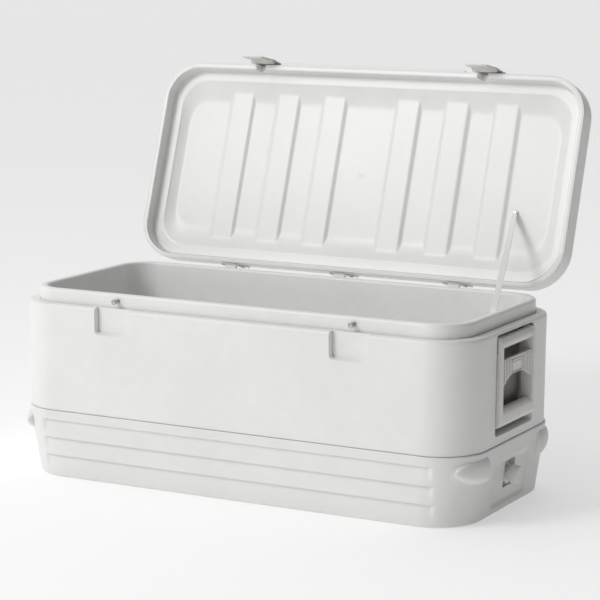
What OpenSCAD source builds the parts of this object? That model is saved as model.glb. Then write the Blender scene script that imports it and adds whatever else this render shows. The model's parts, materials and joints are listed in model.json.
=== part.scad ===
// A large rigid chest cooler, lid open on its stay strap.
// X runs along the length, Y to the back where the hinges are, Z up.
// The origin is the centre of the underside of the base pan.

/* [Body] */
// Length of the body at the ledge that carries the lid
body_length = 956; // [800:2:1200]
// Depth of the body at the same ledge
body_depth = 432; // [360:2:560]
// Height of the ledge above the ground
ledge_height = 340; // [300:1:440]
// Height of the joint between the base pan and the upper shell
parting_height = 133; // [125:1:145]
// Corner radius of the body in plan
corner_radius = 88; // [70:1:110]
// Thickness of every moulded skin
skin = 3; // [2.4:0.1:3.6]
// How far the upper shell draws in at the parting line
shell_draft = 1.5; // [0.5:0.5:4]
// How far the foot of the base pan is set in
base_draft = 14; // [8:1:20]
// Reveal of the base pan beyond the upper shell
base_reveal = 1.5; // [0:0.5:3]

/* [Tub] */
// Setback of the raised collar from the ledge's outer edge
collar_inset = 21; // [19:0.5:28]
// Height of the collar above the ledge
collar_height = 26; // [22:1:34]
// Thickness of the hollow collar wall
collar_wall = 16; // [12:1:24]
// Height of the tub floor above the ground
floor_height = 52; // [48:1:70]
// Draft of the tub walls from rim to floor
tub_draft = 5; // [2:0.5:9]
// Corner radius at the bottom of the tub
tub_floor_radius = 30; // [20:1:45]

/* [Lid] */
// Total height of the closed cooler
closed_height = 446; // [430:1:480]
// Angle of the open lid from shut, held by the stay strap
lid_open = 109; // [100:1:115]
// Height of the lid's upright skirt
lid_skirt = 39; // [34:1:44]
// Width of the skirt wall
skirt_wall = 12; // [10:0.5:16]
// Depth of the recess in the lid's underside
lid_recess = 10; // [6:0.5:16]
// Width of the flat rim round the recess
lid_rim = 20; // [14:1:40]
// Run of the sloped wall between the rim and the recess floor at the ends
recess_slope = 24; // [12:1:36]
// Run of the same wall at the front and back
recess_slope_front = 36; // [16:1:44]
// Number of raised bands on each half of the recess floor
bands_each_side = 3; // [1:1:3]
// Width of one band
band_width = 52; // [30:1:60]
// Spacing of the bands
band_pitch = 107; // [80:1:110]
// Distance of the first band from the middle
band_start = 83; // [60:1:90]
// Height of the bands
band_height = 4; // [2:0.5:6]
// Depth of the finger lip at the front edge
lip_depth = 6; // [4:0.5:8]

/* [Hinges] */
// Distance of the outer hinges and of the latches from the middle
hinge_spacing = 249; // [200:1:300]
// Distance of the hinge axis behind the body's back face
hinge_back = 9; // [8:0.5:12]
// Height of the hinge axis above the ledge
hinge_rise = 12; // [11:0.5:16]
// Width of one hinge
hinge_width = 58; // [40:1:80]
// Radius of the hinge knuckles
knuckle_radius = 6.5; // [5.5:0.5:7.5]
// Radius of the hinge pins
hinge_pin_radius = 2; // [1.5:0.25:3]

/* [Latches] */
// Width of a latch at its pivot
latch_width = 56; // [40:1:60]
// Width of a latch at its free end
latch_tip_width = 46; // [30:1:50]
// Length of a latch from pivot to free end
latch_length = 74; // [60:1:78]
// Height of the latch pivot above the ledge
latch_pivot_rise = 32; // [28:1:34]
// Radius of the latch pins
latch_pin_radius = 2; // [1.5:0.25:2.5]
// Height of the keeper studs above the ledge
stud_rise = 13; // [11:0.5:16]
// Radius of a keeper stud's head
stud_head_radius = 5.5; // [4:0.25:6]
// Width of the finger pocket behind a latch
latch_pocket_width = 74; // [66:1:90]
// Height of the finger pocket behind a latch
latch_pocket_height = 49; // [45:1:60]
// Depth of the finger pocket behind a latch
latch_pocket_depth = 12; // [8:0.5:14]

/* [Handles] */
// Width of a handle
handle_width = 156; // [120:1:170]
// Height of a handle's pivot below the ledge
handle_pivot_drop = 24; // [22:1:30]
// Distance from a handle's pivot to the middle of its grip
handle_reach = 136; // [110:1:140]
// Radius of a handle's side rail
rail_radius = 13; // [11:0.5:14]
// Width of a handle's side rail
rail_width = 11; // [8:0.5:16]
// Radius of the bar that the handle turns on
barrel_radius = 11; // [9:0.5:12]
// Radius of the handle pins
handle_pin_radius = 4; // [3:0.25:5]

/* [Drain] */
// Height of the drain above the ground
drain_height = 65; // [60:1:75]
// Radius of the drain's bore
drain_bore = 9; // [7:0.5:10]
// Outer radius of the drain spout
spout_radius = 13; // [12:0.25:14]
// Outer radius of the drain cap
cap_radius = 17; // [16:0.25:19]
// Travel of the drain cap for one turn
drain_pitch = 4; // [3:0.5:5]

/* [Stay strap] */
// Width of the stay strap
strap_width = 12; // [8:0.5:16]
// Thickness of the stay strap
strap_thickness = 1.4; // [1:0.1:2]

/* [Clearances] */
// Radial clearance of a pin in the piece that turns on it
running_fit = 0.06; // [0.02:0.01:0.1]
// Radial clearance of a screw or pin in the piece that holds it
fixed_fit = 0.02; // [0.01:0.01:0.05]
// Gap between pieces that don't touch
free_gap = 0.5; // [0.3:0.1:1]
// Gap between the collar and the lid skirt at the sides and front
collar_gap = 1; // [0.8:0.1:1.5]
// Gap between the collar and the lid skirt at the hinge side
hinge_side_gap = 3.2; // [3:0.1:4]

/* [Hidden] */

tiny = 0.05;
far_out = 60;
hull_fn = 40;
round_fn = 64;
off_white = "whitesmoke";
metal = "silver";

half_l = body_length / 2;
half_d = body_depth / 2;
collar_l = half_l - collar_inset;
collar_d = half_d - collar_inset;
collar_r = corner_radius - collar_inset;
collar_top = ledge_height + collar_height;
cavity_l = collar_l - collar_wall;
cavity_d = collar_d - collar_wall;
cavity_r = collar_r - collar_wall;
edge_round = 3;
edge_drop = 6;
foam_setback = 3;
foot_round = 7;
joint_gap = 0.4;

hinge_y = half_d + hinge_back;
hinge_z = ledge_height + hinge_rise;
lid_gap = 0.8;
lid_bottom = ledge_height + lid_gap;
rim_plane = collar_top + 0.6;
lid_l = collar_l + collar_gap + skirt_wall;
lid_d = collar_d + collar_gap + skirt_wall;
lid_r = collar_r + collar_gap + skirt_wall;
skirt_top = lid_bottom + lid_skirt;
recess_l = lid_l - skirt_wall - lid_rim;
recess_d = lid_d - skirt_wall - lid_rim;
recess_floor = rim_plane + lid_recess;
hinge_xs = [-hinge_spacing, 0, hinge_spacing];

latch_y = -(lid_d + 7);
latch_z = ledge_height + latch_pivot_rise;
stud_z = ledge_height + stud_rise;
stud_front = lid_d + 2;
hook_clear = 0.4;
bracket_low = stud_z + stud_head_radius + 1.3;
bracket_screw_z = bracket_low + 4;
hook_reach = -stud_front - latch_y - hook_clear;
hook_top = stud_z - stud_head_radius - 2 * hook_clear - latch_z;

handle_half = handle_width / 2;
handle_clear = 1;
cheek = 3;
pocket_half = handle_half + handle_clear + cheek + joint_gap;
barrel_x = half_l - 6;
barrel_z = ledge_height - handle_pivot_drop;
grip_z = barrel_z - handle_reach;
pocket_floor = cavity_l + 2 * skin + free_gap;
pocket_top = barrel_z + rail_radius + 5;
pocket_bottom = grip_z - rail_radius - 14;

drain_seat = half_l - base_draft - 5;
tub_seat = cavity_l - tub_draft;
spout_lead = 15;
cap_start = drain_seat + spout_lead;
cap_length = 17;
thread_turns = 3;
spout_thread = thread_turns * drain_pitch + free_gap;
spout_end = cap_start + spout_thread;
drain_room = spout_radius + 11;
nut_thickness = 5;
gasket_thickness = 2;

// ---- shared shapes ----

module rounded_rect(hl, hd, r) {
    square([2 * (hl - r), 2 * hd], center = true);
    square([2 * hl, 2 * (hd - r)], center = true);
    for (sx = [-1, 1], sy = [-1, 1])
        translate([sx * (hl - r), sy * (hd - r)])
            circle(r, $fn = hull_fn);
}

module slab(hl, hd, r, z, t = tiny) {
    translate([0, 0, z])
        linear_extrude(t)
            rounded_rect(hl, hd, r);
}

// A tub-like body between two heights, each with its own half sizes and corner radius.
module taper(low, high) {
    hull() {
        slab(low[0], low[1], low[2], low[3]);
        slab(high[0], high[1], high[2], high[3] - tiny);
    }
}

module rod_x(r, x0, x1, y, z, fn = round_fn) {
    translate([x0, y, z])
        rotate([0, 90, 0])
            cylinder(r = r, h = x1 - x0, $fn = fn);
}

module rod_y(r, y0, y1, x, z, fn = round_fn) {
    translate([x, y1, z])
        rotate([90, 0, 0])
            cylinder(r = r, h = y1 - y0, $fn = fn);
}

module box(low, high) {
    translate(low)
        cube(high - low);
}

// Turns pieces of the lid from their shut place to the open one.
module open_lid() {
    translate([0, hinge_y, hinge_z])
        rotate([-lid_open, 0, 0])
            translate([0, -hinge_y, -hinge_z])
                children();
}

module both_ends() {
    children();
    mirror([1, 0, 0])
        children();
}

// ---- body ----

shell_low = [half_l - shell_draft, half_d - shell_draft, corner_radius];

module shell_form() {
    hull() {
        slab(shell_low[0], shell_low[1], shell_low[2], parting_height + joint_gap);
        slab(half_l, half_d, corner_radius, ledge_height - edge_drop);
        slab(half_l - edge_round, half_d - edge_round, corner_radius - edge_round, ledge_height - tiny);
    }
}

module shell_hollow(inset) {
    taper(
        [shell_low[0] - inset, shell_low[1] - inset, corner_radius - inset, parting_height - far_out],
        [half_l - inset - edge_round, half_d - inset - edge_round, corner_radius - inset - edge_round,
            ledge_height - inset]
    );
}

module latch_pocket_outline(grow) {
    w = latch_pocket_width / 2 + grow;
    h = latch_pocket_height + grow;
    r = 12;
    polygon([[-w, 1], [w, 1], [w, -h + r], [w - r, -h], [-w + r, -h], [-w, -h + r]]);
}

module latch_pockets(grow) {
    for (x = [-hinge_spacing, hinge_spacing])
        translate([x, -half_d + latch_pocket_depth + grow, ledge_height])
            rotate([90, 0, 0])
                linear_extrude(latch_pocket_depth + grow + 5)
                    latch_pocket_outline(grow);
}

module handle_pockets(grow) {
    both_ends()
        box([pocket_floor - grow, -pocket_half - grow, pocket_bottom - grow],
            [half_l + 5, pocket_half + grow, pocket_top + grow]);
}

module hinge_screw_holes(r, depth) {
    for (x = hinge_xs, dx = [-1, 1])
        rod_y(r, half_d - depth, half_d + 6, x + dx * hinge_width * 0.3, ledge_height - 22);
}

module handle_screw_holes(r, depth) {
    both_ends()
        for (y = [-1, 1], z = [pocket_bottom + 22, pocket_top - 60])
            rod_x(r, pocket_floor - depth, pocket_floor + 6, y * (handle_half - 26), z);
}

module body_shell() {
    color(off_white)
        difference() {
            shell_form();
            difference() {
                shell_hollow(skin);
                latch_pockets(skin);
                handle_pockets(skin);
            }
            slab(collar_l + free_gap, collar_d + free_gap, collar_r + free_gap, ledge_height - far_out, far_out + 1);
            latch_pockets(0);
            handle_pockets(0);
            hinge_screw_holes(screw_radius + fixed_fit, 2 * skin);
            handle_screw_holes(screw_radius + fixed_fit, 2 * skin);
        }
}

// ---- base pan ----

pan_top = parting_height - joint_gap;
board_tops = [114, 79, 44];
board_height = 35;
board_step = 4.5;
board_half = 415;
screw_radius = 2;

// Half depth of the base pan's wall at a height.
function pan_d(z) = half_d + base_reveal - base_draft * (pan_top - z) / (pan_top - foot_round);

module base_form() {
    hull() {
        slab(half_l - base_draft - foot_round, half_d + base_reveal - base_draft - foot_round, corner_radius - foot_round, 0);
        slab(half_l + base_reveal - base_draft, half_d + base_reveal - base_draft, corner_radius, foot_round);
        slab(half_l + base_reveal, half_d + base_reveal, corner_radius, pan_top - tiny);
    }
}

// Lapped boards pressed into the long sides: each steps in at its top and comes out again below.
module boards(grow) {
    for (side = [0, 1], top = board_tops)
        mirror([0, side, 0])
            translate([-board_half - grow, 0, 0])
                rotate([90, 0, 90])
                    linear_extrude(2 * (board_half + grow))
                        polygon([
                            [pan_d(top) + 1, top + 0.2],
                            [pan_d(top) - board_step - grow, top - 1],
                            [pan_d(top) - board_step - grow, top - 4],
                            [pan_d(top - board_height) - grow, top - board_height + 1],
                            [pan_d(top - board_height) + 1, top - board_height + 1]
                        ]);
}

// A bullet-shaped bumper that wraps one corner of the base.
module corner_bumper() {
    hull() {
        translate([half_l - 26, -half_d + 24, 104])
            sphere(5, $fn = hull_fn / 2);
        translate([half_l - 13, -half_d + 62, 101])
            sphere(17, $fn = hull_fn / 2);
        translate([half_l - 7.5, -half_d + 104, 98])
            sphere(19, $fn = hull_fn / 2);
    }
}

module base_pan() {
    color(off_white)
        difference() {
            union() {
                base_form();
                for (sx = [0, 1], sy = [0, 1])
                    mirror([sx, 0, 0])
                        mirror([0, sy, 0])
                            corner_bumper();
            }
            difference() {
                taper(
                    [half_l - base_draft - skin - 3, half_d - base_draft - skin - 3, corner_radius - skin, skin],
                    [half_l + base_reveal - skin, half_d + base_reveal - skin, corner_radius - skin, pan_top + 1]
                );
                boards(skin);
                drain_recess(skin);
            }
            boards(0);
            drain_recess(0);
            rod_x(spout_radius + free_gap, drain_seat - far_out, half_l, 0, drain_height);
            plug_places(plug_radius + fixed_fit, 2 * skin);
        }
}

module drain_recess(grow) {
    box([drain_seat - grow, -drain_room - grow, drain_height - drain_room - grow],
        [half_l + 5, drain_room + grow, drain_height + drain_room + 4 + grow]);
}

plug_radius = 7;
plug_xs = [-320, 320];

module plug_places(r, depth) {
    for (x = plug_xs)
        rod_y(r, -pan_d(70) - 3, -pan_d(70) + depth, x, 70);
}

module foam_fill_plugs() {
    color(off_white)
        for (x = plug_xs)
            rod_y(plug_radius, -pan_d(70) + 0.5, -pan_d(70) + 4.5, x, 70);
}

// ---- tub ----

module cavity(grow) {
    hull() {
        slab(cavity_l + grow, cavity_d + grow, cavity_r + grow, collar_top + 1 - tiny);
        slab(cavity_l - tub_draft + grow, cavity_d - tub_draft + grow, cavity_r + grow,
            floor_height + tub_floor_radius);
        slab(cavity_l - tub_draft - tub_floor_radius * 0.3 + grow, cavity_d - tub_draft - tub_floor_radius * 0.3 + grow,
            cavity_r, floor_height + tub_floor_radius * 0.3 - grow);
        slab(cavity_l - tub_draft - tub_floor_radius + grow, cavity_d - tub_draft - tub_floor_radius + grow,
            cavity_r - 10, floor_height - grow);
    }
}

module tub_liner() {
    color(off_white)
        difference() {
            union() {
                intersection() {
                    cavity(skin);
                    box([-half_l, -half_d, 0], [half_l, half_d, collar_top - 1]);
                }
                slab(collar_l, collar_d, collar_r, ledge_height - skin - 5, collar_height + skin + 4);
                slab(collar_l - 1.5, collar_d - 1.5, collar_r - 1.5, collar_top - 2, 2);
                rod_x(spout_radius + 12, tub_seat - 5, tub_seat + skin, 0, drain_height);
            }
            cavity(0);
            difference() {
                slab(collar_l - skin, collar_d - skin, collar_r - skin, ledge_height - far_out, far_out + collar_height - skin);
                cavity(skin);
            }
            rod_x(spout_radius + 8, tub_seat - 30, tub_seat, 0, drain_height);
            rod_x(spout_radius + fixed_fit, tub_seat - 30, tub_seat + 30, 0, drain_height);
            stud_holes(screw_radius + fixed_fit, skin + 1);
            translate(tub_anchor)
                rod_x(screw_radius + fixed_fit, -5, 12, 0, 0);
        }
}

module stud_holes(r, depth) {
    for (x = [-hinge_spacing, hinge_spacing])
        rod_y(r, -collar_d - 1, -collar_d + depth, x, stud_z);
}

// ---- foam core of the body ----

module body_foam() {
    gap = skin + free_gap;
    color("khaki")
        difference() {
            union() {
                hull() {
                    slab(half_l - base_draft - skin - 12, half_d - base_draft - skin - 12, corner_radius - 20, gap);
                    slab(half_l - skin - 6, half_d - skin - 6, corner_radius - skin - 6, parting_height);
                    slab(half_l - skin - 6, half_d - skin - 6, corner_radius - skin - 6, ledge_height - gap - 5);
                }
                hull()
                    slab(collar_l - gap, collar_d - gap, collar_r - gap, ledge_height - 20, 20 + collar_height - gap);
            }
            cavity(gap);
            latch_pockets(gap);
            handle_pockets(gap);
            drain_recess(gap);
            rod_x(spout_radius + 13, tub_seat - 20, tub_seat + gap, 0, drain_height);
            rod_x(spout_radius + free_gap, tub_seat - 20, half_l, 0, drain_height);
            hinge_screw_holes(screw_radius + free_gap, 20);
            stud_holes(screw_radius + free_gap, 14);
        }
}

// ---- lid, drawn shut and then opened ----

module lid_form(inset, low) {
    hull() {
        slab(lid_l - inset, lid_d - inset, lid_r - inset, low);
        slab(lid_l - inset, lid_d - inset, lid_r - inset, skirt_top);
        slab(lid_l - 10 - inset, lid_d - 9 - inset, lid_r - 6 - inset, skirt_top + 24 - inset);
        slab(lid_l - 26 - inset, lid_d - 24 - inset, lid_r - 14 - inset, closed_height - 14 - inset);
        slab(lid_l - 54 - inset, lid_d - 50 - inset, lid_r - 30 - inset, closed_height - inset - tiny);
    }
}

module stud_notches() {
    for (x = [-hinge_spacing, hinge_spacing])
        box([x - stud_head_radius - 2, -lid_d - 2, lid_bottom - 1],
            [x + stud_head_radius + 2, -lid_d + skirt_wall + 2, stud_z + stud_head_radius + 3]);
}

module lid_cover() {
    color(off_white)
        open_lid()
            difference() {
                union() {
                    lid_form(0, lid_bottom);
                    box([-hinge_spacing + 42, -lid_d - lip_depth, lid_bottom + 6],
                        [hinge_spacing - 42, -lid_d + 2, lid_bottom + 16]);
                }
                difference() {
                    lid_form(skin, lid_bottom - 1);
                    stud_cheeks();
                }
                stud_notches();
                lid_hinge_holes(screw_radius + fixed_fit, 2 * skin);
                latch_bracket_holes(screw_radius + fixed_fit, 2 * skin);
            }
}

// The skirt is closed round each stud notch.
module stud_cheeks() {
    for (x = [-hinge_spacing, hinge_spacing])
        box([x - stud_head_radius - 2 - skin, -lid_d - 2, lid_bottom + skin + fixed_fit],
            [x + stud_head_radius + 2 + skin, -lid_d + skirt_wall - skin - free_gap, stud_z + stud_head_radius + 3 + skin]);
}

module lid_hinge_holes(r, depth) {
    for (x = hinge_xs, dx = [-1, 1])
        rod_y(r, lid_d - depth, lid_d + 6, x + dx * hinge_width * 0.3, lid_bottom + 29);
}

module latch_bracket_holes(r, depth) {
    for (x = [-hinge_spacing, hinge_spacing], dx = [-1, 1])
        rod_y(r, -lid_d - 6, -lid_d + depth, x + dx * 18, bracket_screw_z);
}

module skirt_inner(grow, z, t) {
    back_shift = (hinge_side_gap - collar_gap) / 2;
    translate([0, back_shift, 0])
        slab(collar_l + collar_gap + grow, collar_d + collar_gap + back_shift + grow, collar_r + collar_gap + grow, z, t);
}

module recess(grow) {
    hull() {
        slab(recess_l + grow, recess_d + grow, 60 + grow, rim_plane - 1);
        slab(recess_l - recess_slope + grow, recess_d - recess_slope_front + grow, 44 + grow, recess_floor + grow - tiny);
    }
}

module bands(grow) {
    for (side = [-1, 1], i = [0 : bands_each_side - 1])
        translate([side * (band_start + i * band_pitch), 0, recess_floor - band_height + grow])
            box([-band_width / 2 + grow, -recess_d + recess_slope_front - 6, 0],
                [band_width / 2 - grow, recess_d - recess_slope_front - 12, band_height + skin + 1]);
}

module lid_liner() {
    color(off_white)
        open_lid()
            difference() {
                union() {
                    hull()
                        slab(lid_l - skin - fixed_fit, lid_d - skin - fixed_fit, lid_r - skin, lid_bottom, skin);
                    skirt_inner(skin, lid_bottom, rim_plane - lid_bottom + skin);
                    recess(skin);
                }
                skirt_inner(0, lid_bottom - 1, rim_plane - lid_bottom + 1);
                difference() {
                    recess(0);
                    bands(0);
                }
                bands(skin);
                stud_notches();
                translate([lid_anchor[0], lid_anchor[1], recess_floor])
                    cylinder(r = screw_radius + fixed_fit, h = 20, center = true, $fn = round_fn);
            }
}

module lid_foam() {
    gap = skin + free_gap;
    color("khaki")
        open_lid()
            difference() {
                lid_form(gap, rim_plane + gap);
                recess(gap + foam_setback);
                lid_hinge_holes(screw_radius + free_gap, 16);
                translate([lid_anchor[0], lid_anchor[1], recess_floor])
                    cylinder(r = screw_radius + free_gap, h = 34, center = true, $fn = round_fn);
            }
}

// ---- hinges ----

leaf = 3;
knuckle_gap = 0.5;
middle_knuckle = hinge_width * 0.42;

module body_leaf() {
    color(off_white)
        difference() {
            union() {
                box([-hinge_width / 2, half_d + fixed_fit, ledge_height - 38],
                    [hinge_width / 2, half_d + leaf, ledge_height - edge_drop]);
                for (side = [-1, 1])
                    mirror([side < 0 ? 1 : 0, 0, 0]) {
                        box([middle_knuckle / 2 + knuckle_gap, half_d + fixed_fit, ledge_height - 20],
                            [hinge_width / 2, half_d + leaf, hinge_z]);
                        box([middle_knuckle / 2 + knuckle_gap, half_d + fixed_fit, hinge_z - 4],
                            [hinge_width / 2, hinge_y, hinge_z + 1]);
                        rod_x(knuckle_radius, middle_knuckle / 2 + knuckle_gap, hinge_width / 2, hinge_y, hinge_z);
                    }
            }
            rod_x(hinge_pin_radius + fixed_fit, -hinge_width, hinge_width, hinge_y, hinge_z);
            for (dx = [-1, 1])
                rod_y(screw_radius + fixed_fit, half_d - 5, half_d + 10, dx * hinge_width * 0.3, ledge_height - 22);
        }
}

module lid_leaf() {
    color(off_white)
        open_lid()
            difference() {
                union() {
                    box([-hinge_width / 2, lid_d + fixed_fit, lid_bottom + 23],
                        [hinge_width / 2, lid_d + leaf, skirt_top - 1]);
                    box([-middle_knuckle / 2, lid_d + fixed_fit, hinge_z - 4],
                        [middle_knuckle / 2, lid_d + leaf, skirt_top - 5]);
                    box([-middle_knuckle / 2, lid_d + fixed_fit, hinge_z - 2],
                        [middle_knuckle / 2, hinge_y, hinge_z + 4]);
                    rod_x(knuckle_radius, -middle_knuckle / 2, middle_knuckle / 2, hinge_y, hinge_z);
                }
                rod_x(hinge_pin_radius + running_fit, -hinge_width, hinge_width, hinge_y, hinge_z);
                for (dx = [-1, 1])
                    rod_y(screw_radius + fixed_fit, lid_d - 5, lid_d + 10, dx * hinge_width * 0.3, lid_bottom + 29);
            }
}

module hinge_pin() {
    color(metal)
        rod_x(hinge_pin_radius, -hinge_width / 2, hinge_width / 2, hinge_y, hinge_z);
}

// A pan-head screw along +Y with its head at y = 0.
module screw_y(length) {
    rod_y(screw_radius, 0, length, 0, 0);
    rod_y(4, -1.8, 0, 0, 0);
}

module hinge_body_screws() {
    color(metal)
        for (x = hinge_xs, dx = [-1, 1])
            translate([x + dx * hinge_width * 0.3, half_d + leaf, ledge_height - 22])
                mirror([0, 1, 0])
                    screw_y(16);
}

module hinge_lid_screws() {
    color(metal)
        open_lid()
            for (x = hinge_xs, dx = [-1, 1])
                translate([x + dx * hinge_width * 0.3, lid_d + leaf, lid_bottom + 29])
                    mirror([0, 1, 0])
                        screw_y(leaf + skirt_wall - (hinge_side_gap - collar_gap) - skin - free_gap);
}

// ---- latches ----

// Side outline of a latch: y outwards is negative, z is measured from the pivot.
module latch_side() {
    polygon([
        [-4.9, 1], [1, 1], [-1.6, -7], [-1.6, hook_top + 1.2], [hook_reach, hook_top],
        [hook_reach, hook_top - 3.5], [-1.2, hook_top - 7], [-0.6, hook_top - 11],
        [4.5, -latch_length + 3], [4.5, -latch_length], [1.5, -latch_length], [-3.8, hook_top - 11],
        [-4.9, hook_top - 5]
    ]);
}

module latch() {
    color(off_white)
        open_lid()
            translate([0, latch_y, latch_z])
                difference() {
                    intersection() {
                        union() {
                            rod_x(5, -latch_width / 2, latch_width / 2, 0, 0);
                            rotate([90, 0, 90])
                                translate([0, 0, -latch_width / 2])
                                    linear_extrude(latch_width)
                                        latch_side();
                        }
                        translate([0, 20, 0])
                            rotate([90, 0, 0])
                                linear_extrude(40)
                                    polygon([
                                        [-latch_width / 2, 8], [latch_width / 2, 8], [latch_width / 2, -10],
                                        [latch_tip_width / 2, -latch_length], [-latch_tip_width / 2, -latch_length],
                                        [-latch_width / 2, -10]
                                    ]);
                    }
                    rod_x(latch_pin_radius + running_fit, -latch_width, latch_width, 0, 0);
                }
}

ear = 3;

module latch_bracket() {
    color(off_white)
        open_lid()
            difference() {
                union() {
                    box([-latch_width / 2 - free_gap - ear, -lid_d - 1.5, bracket_low],
                        [latch_width / 2 + free_gap + ear, -lid_d - fixed_fit, latch_z + 5]);
                    for (side = [0, 1])
                        mirror([side, 0, 0])
                            translate([latch_width / 2 + free_gap, 0, 0]) {
                                rod_x(4.5, 0, ear, latch_y, latch_z);
                                box([0, latch_y, latch_z - 4.5], [ear, -lid_d - fixed_fit, latch_z + 4.5]);
                            }
                }
                rod_x(latch_pin_radius + fixed_fit, -latch_width, latch_width, latch_y, latch_z);
                for (dx = [-18, 18])
                    rod_y(screw_radius + fixed_fit, -lid_d - 6, -lid_d + 6, dx, bracket_screw_z);
            }
}

module latch_pin() {
    color(metal)
        open_lid()
            rod_x(latch_pin_radius, -latch_width / 2 - free_gap - ear, latch_width / 2 + free_gap + ear, latch_y, latch_z);
}

module latch_bracket_screws() {
    color(metal)
        open_lid()
            for (x = [-hinge_spacing, hinge_spacing], dx = [-18, 18])
                translate([x + dx, -lid_d - 1.5, bracket_screw_z]) {
                    rod_y(screw_radius, 0, 1.5 + skirt_wall - skin - free_gap, 0, 0);
                    rod_y(3, -0.8, 0, 0, 0);
                }
}

module keeper_stud() {
    color(metal) {
        rod_y(3.5, -stud_front + 3, -collar_d, 0, stud_z);
        rod_y(stud_head_radius, -stud_front, -stud_front + 3, 0, stud_z);
        rod_y(screw_radius, -collar_d, -collar_d + 12, 0, stud_z);
    }
}

// ---- handles, drawn at the +X end ----

panel_top = barrel_z - 30;
panel_bottom = barrel_z - 78;
grip_stretch = 5;

module rail_outline() {
    translate([barrel_x, barrel_z])
        circle(rail_radius, $fn = round_fn);
    translate([barrel_x, grip_z])
        circle(rail_radius, $fn = round_fn);
    translate([barrel_x - rail_radius, grip_z])
        square([2 * rail_radius, handle_reach]);
}

module handle() {
    color(off_white)
        difference() {
            union() {
                for (side = [0, 1])
                    mirror([0, side, 0])
                        translate([0, handle_half, 0])
                            rotate([90, 0, 0])
                                linear_extrude(rail_width)
                                    rail_outline();
                rod_y(barrel_radius, -handle_half + 1, handle_half - 1, barrel_x, barrel_z);
                for (dz = [-grip_stretch, grip_stretch])
                    rod_y(rail_radius - 1, -handle_half + 1, handle_half - 1, barrel_x, grip_z + dz);
                box([barrel_x - rail_radius + 1, -handle_half + 1, grip_z - grip_stretch],
                    [barrel_x + rail_radius - 1, handle_half - 1, grip_z + grip_stretch]);
                handle_panel();
            }
            for (side = [0, 1])
                mirror([0, side, 0])
                    rod_y(handle_pin_radius + running_fit, handle_half - 16, handle_half + 2, barrel_x, barrel_z);
        }
}

// Cross panel with an arched lower edge, upright ribs and a blank plaque.
module handle_panel() {
    reach = handle_half - 4;
    face = barrel_x + rail_radius - 4;
    difference() {
        box([face - 6, -reach, panel_bottom], [face, reach, panel_top]);
        rod_x(110, face - 10, face + 5, 0, panel_bottom - 90);
    }
    box([face, -24, panel_top - 34], [face + 2, 24, panel_top - 5]);
    for (side = [-1, 1], i = [0 : 2])
        box([face, side * (34 + i * 12) - 1.5, panel_top - 33], [face + 2.5, side * (34 + i * 12) + 1.5, panel_top - 3]);
}

module handle_mount() {
    color(off_white)
        difference() {
            union() {
                box([pocket_floor + fixed_fit, -pocket_half + fixed_fit, pocket_bottom + fixed_fit],
                    [pocket_floor + cheek, pocket_half - fixed_fit, pocket_top - fixed_fit]);
                for (side = [0, 1])
                    mirror([0, side, 0])
                        box([pocket_floor + fixed_fit, handle_half + handle_clear, barrel_z - 16],
                            [half_l - 1, pocket_half - fixed_fit, barrel_z + 14]);
            }
            for (side = [0, 1])
                mirror([0, side, 0])
                    rod_y(handle_pin_radius + fixed_fit, handle_half - 2, pocket_half + 2, barrel_x, barrel_z);
            for (y = [-1, 1], z = [pocket_bottom + 22, pocket_top - 60])
                rod_x(screw_radius + fixed_fit, pocket_floor - 5, pocket_floor + 6, y * (handle_half - 26), z);
        }
}

module handle_pins() {
    color(metal)
        for (side = [0, 1])
            mirror([0, side, 0])
                rod_y(handle_pin_radius, handle_half - 15, pocket_half - fixed_fit, barrel_x, barrel_z);
}

module handle_mount_screws() {
    color(metal)
        both_ends()
            for (y = [-1, 1], z = [pocket_bottom + 22, pocket_top - 60]) {
                rod_x(screw_radius, pocket_floor - 3, pocket_floor + cheek, y * (handle_half - 26), z);
                rod_x(4, pocket_floor + cheek, pocket_floor + cheek + 2, y * (handle_half - 26), z);
            }
}

// ---- drain at the +X end ----

module drain_spout() {
    color(off_white)
        difference() {
            union() {
                rod_x(spout_radius + 6, tub_seat - 3, tub_seat - fixed_fit, 0, drain_height);
                rod_x(spout_radius, tub_seat - 3, spout_end, 0, drain_height);
            }
            rod_x(drain_bore, tub_seat - 10, spout_end + 5, 0, drain_height);
        }
}

module drain_gasket() {
    color("dimgray")
        difference() {
            rod_x(spout_radius + 6, drain_seat + fixed_fit, drain_seat + gasket_thickness, 0, drain_height);
            rod_x(spout_radius + fixed_fit, drain_seat - 5, drain_seat + 10, 0, drain_height);
        }
}

module drain_nut() {
    color(off_white)
        difference() {
            rod_x(spout_radius + 7, drain_seat + gasket_thickness + fixed_fit,
                drain_seat + gasket_thickness + nut_thickness, 0, drain_height, 6);
            rod_x(spout_radius + fixed_fit, drain_seat - 5, drain_seat + 20, 0, drain_height);
        }
}

module drain_cap_washer() {
    color("dimgray")
        difference() {
            rod_x(spout_radius - 0.5, spout_end + 0.3, spout_end + 1.3, 0, drain_height);
            rod_x(4, spout_end - 1, spout_end + 5, 0, drain_height);
        }
}

module drain_cap() {
    ribs = 30;
    color(off_white)
        difference() {
            union() {
                rod_x(cap_radius - 0.8, cap_start, cap_start + cap_length, 0, drain_height);
                for (i = [0 : ribs - 1])
                    translate([cap_start, 0, drain_height])
                        rotate([i * 360 / ribs, 0, 0])
                            translate([0, -0.9, cap_radius - 2])
                                cube([cap_length - 1, 1.8, 2]);
            }
            rod_x(spout_radius + 0.1, cap_start - 1, spout_end + 1.4, 0, drain_height);
        }
}

// ---- stay strap ----

lid_anchor = [345, 60];
tub_anchor = [cavity_l - 1.5, -25, collar_top - 40];
anchor_radius = 6;
anchor_height = 4;

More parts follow.
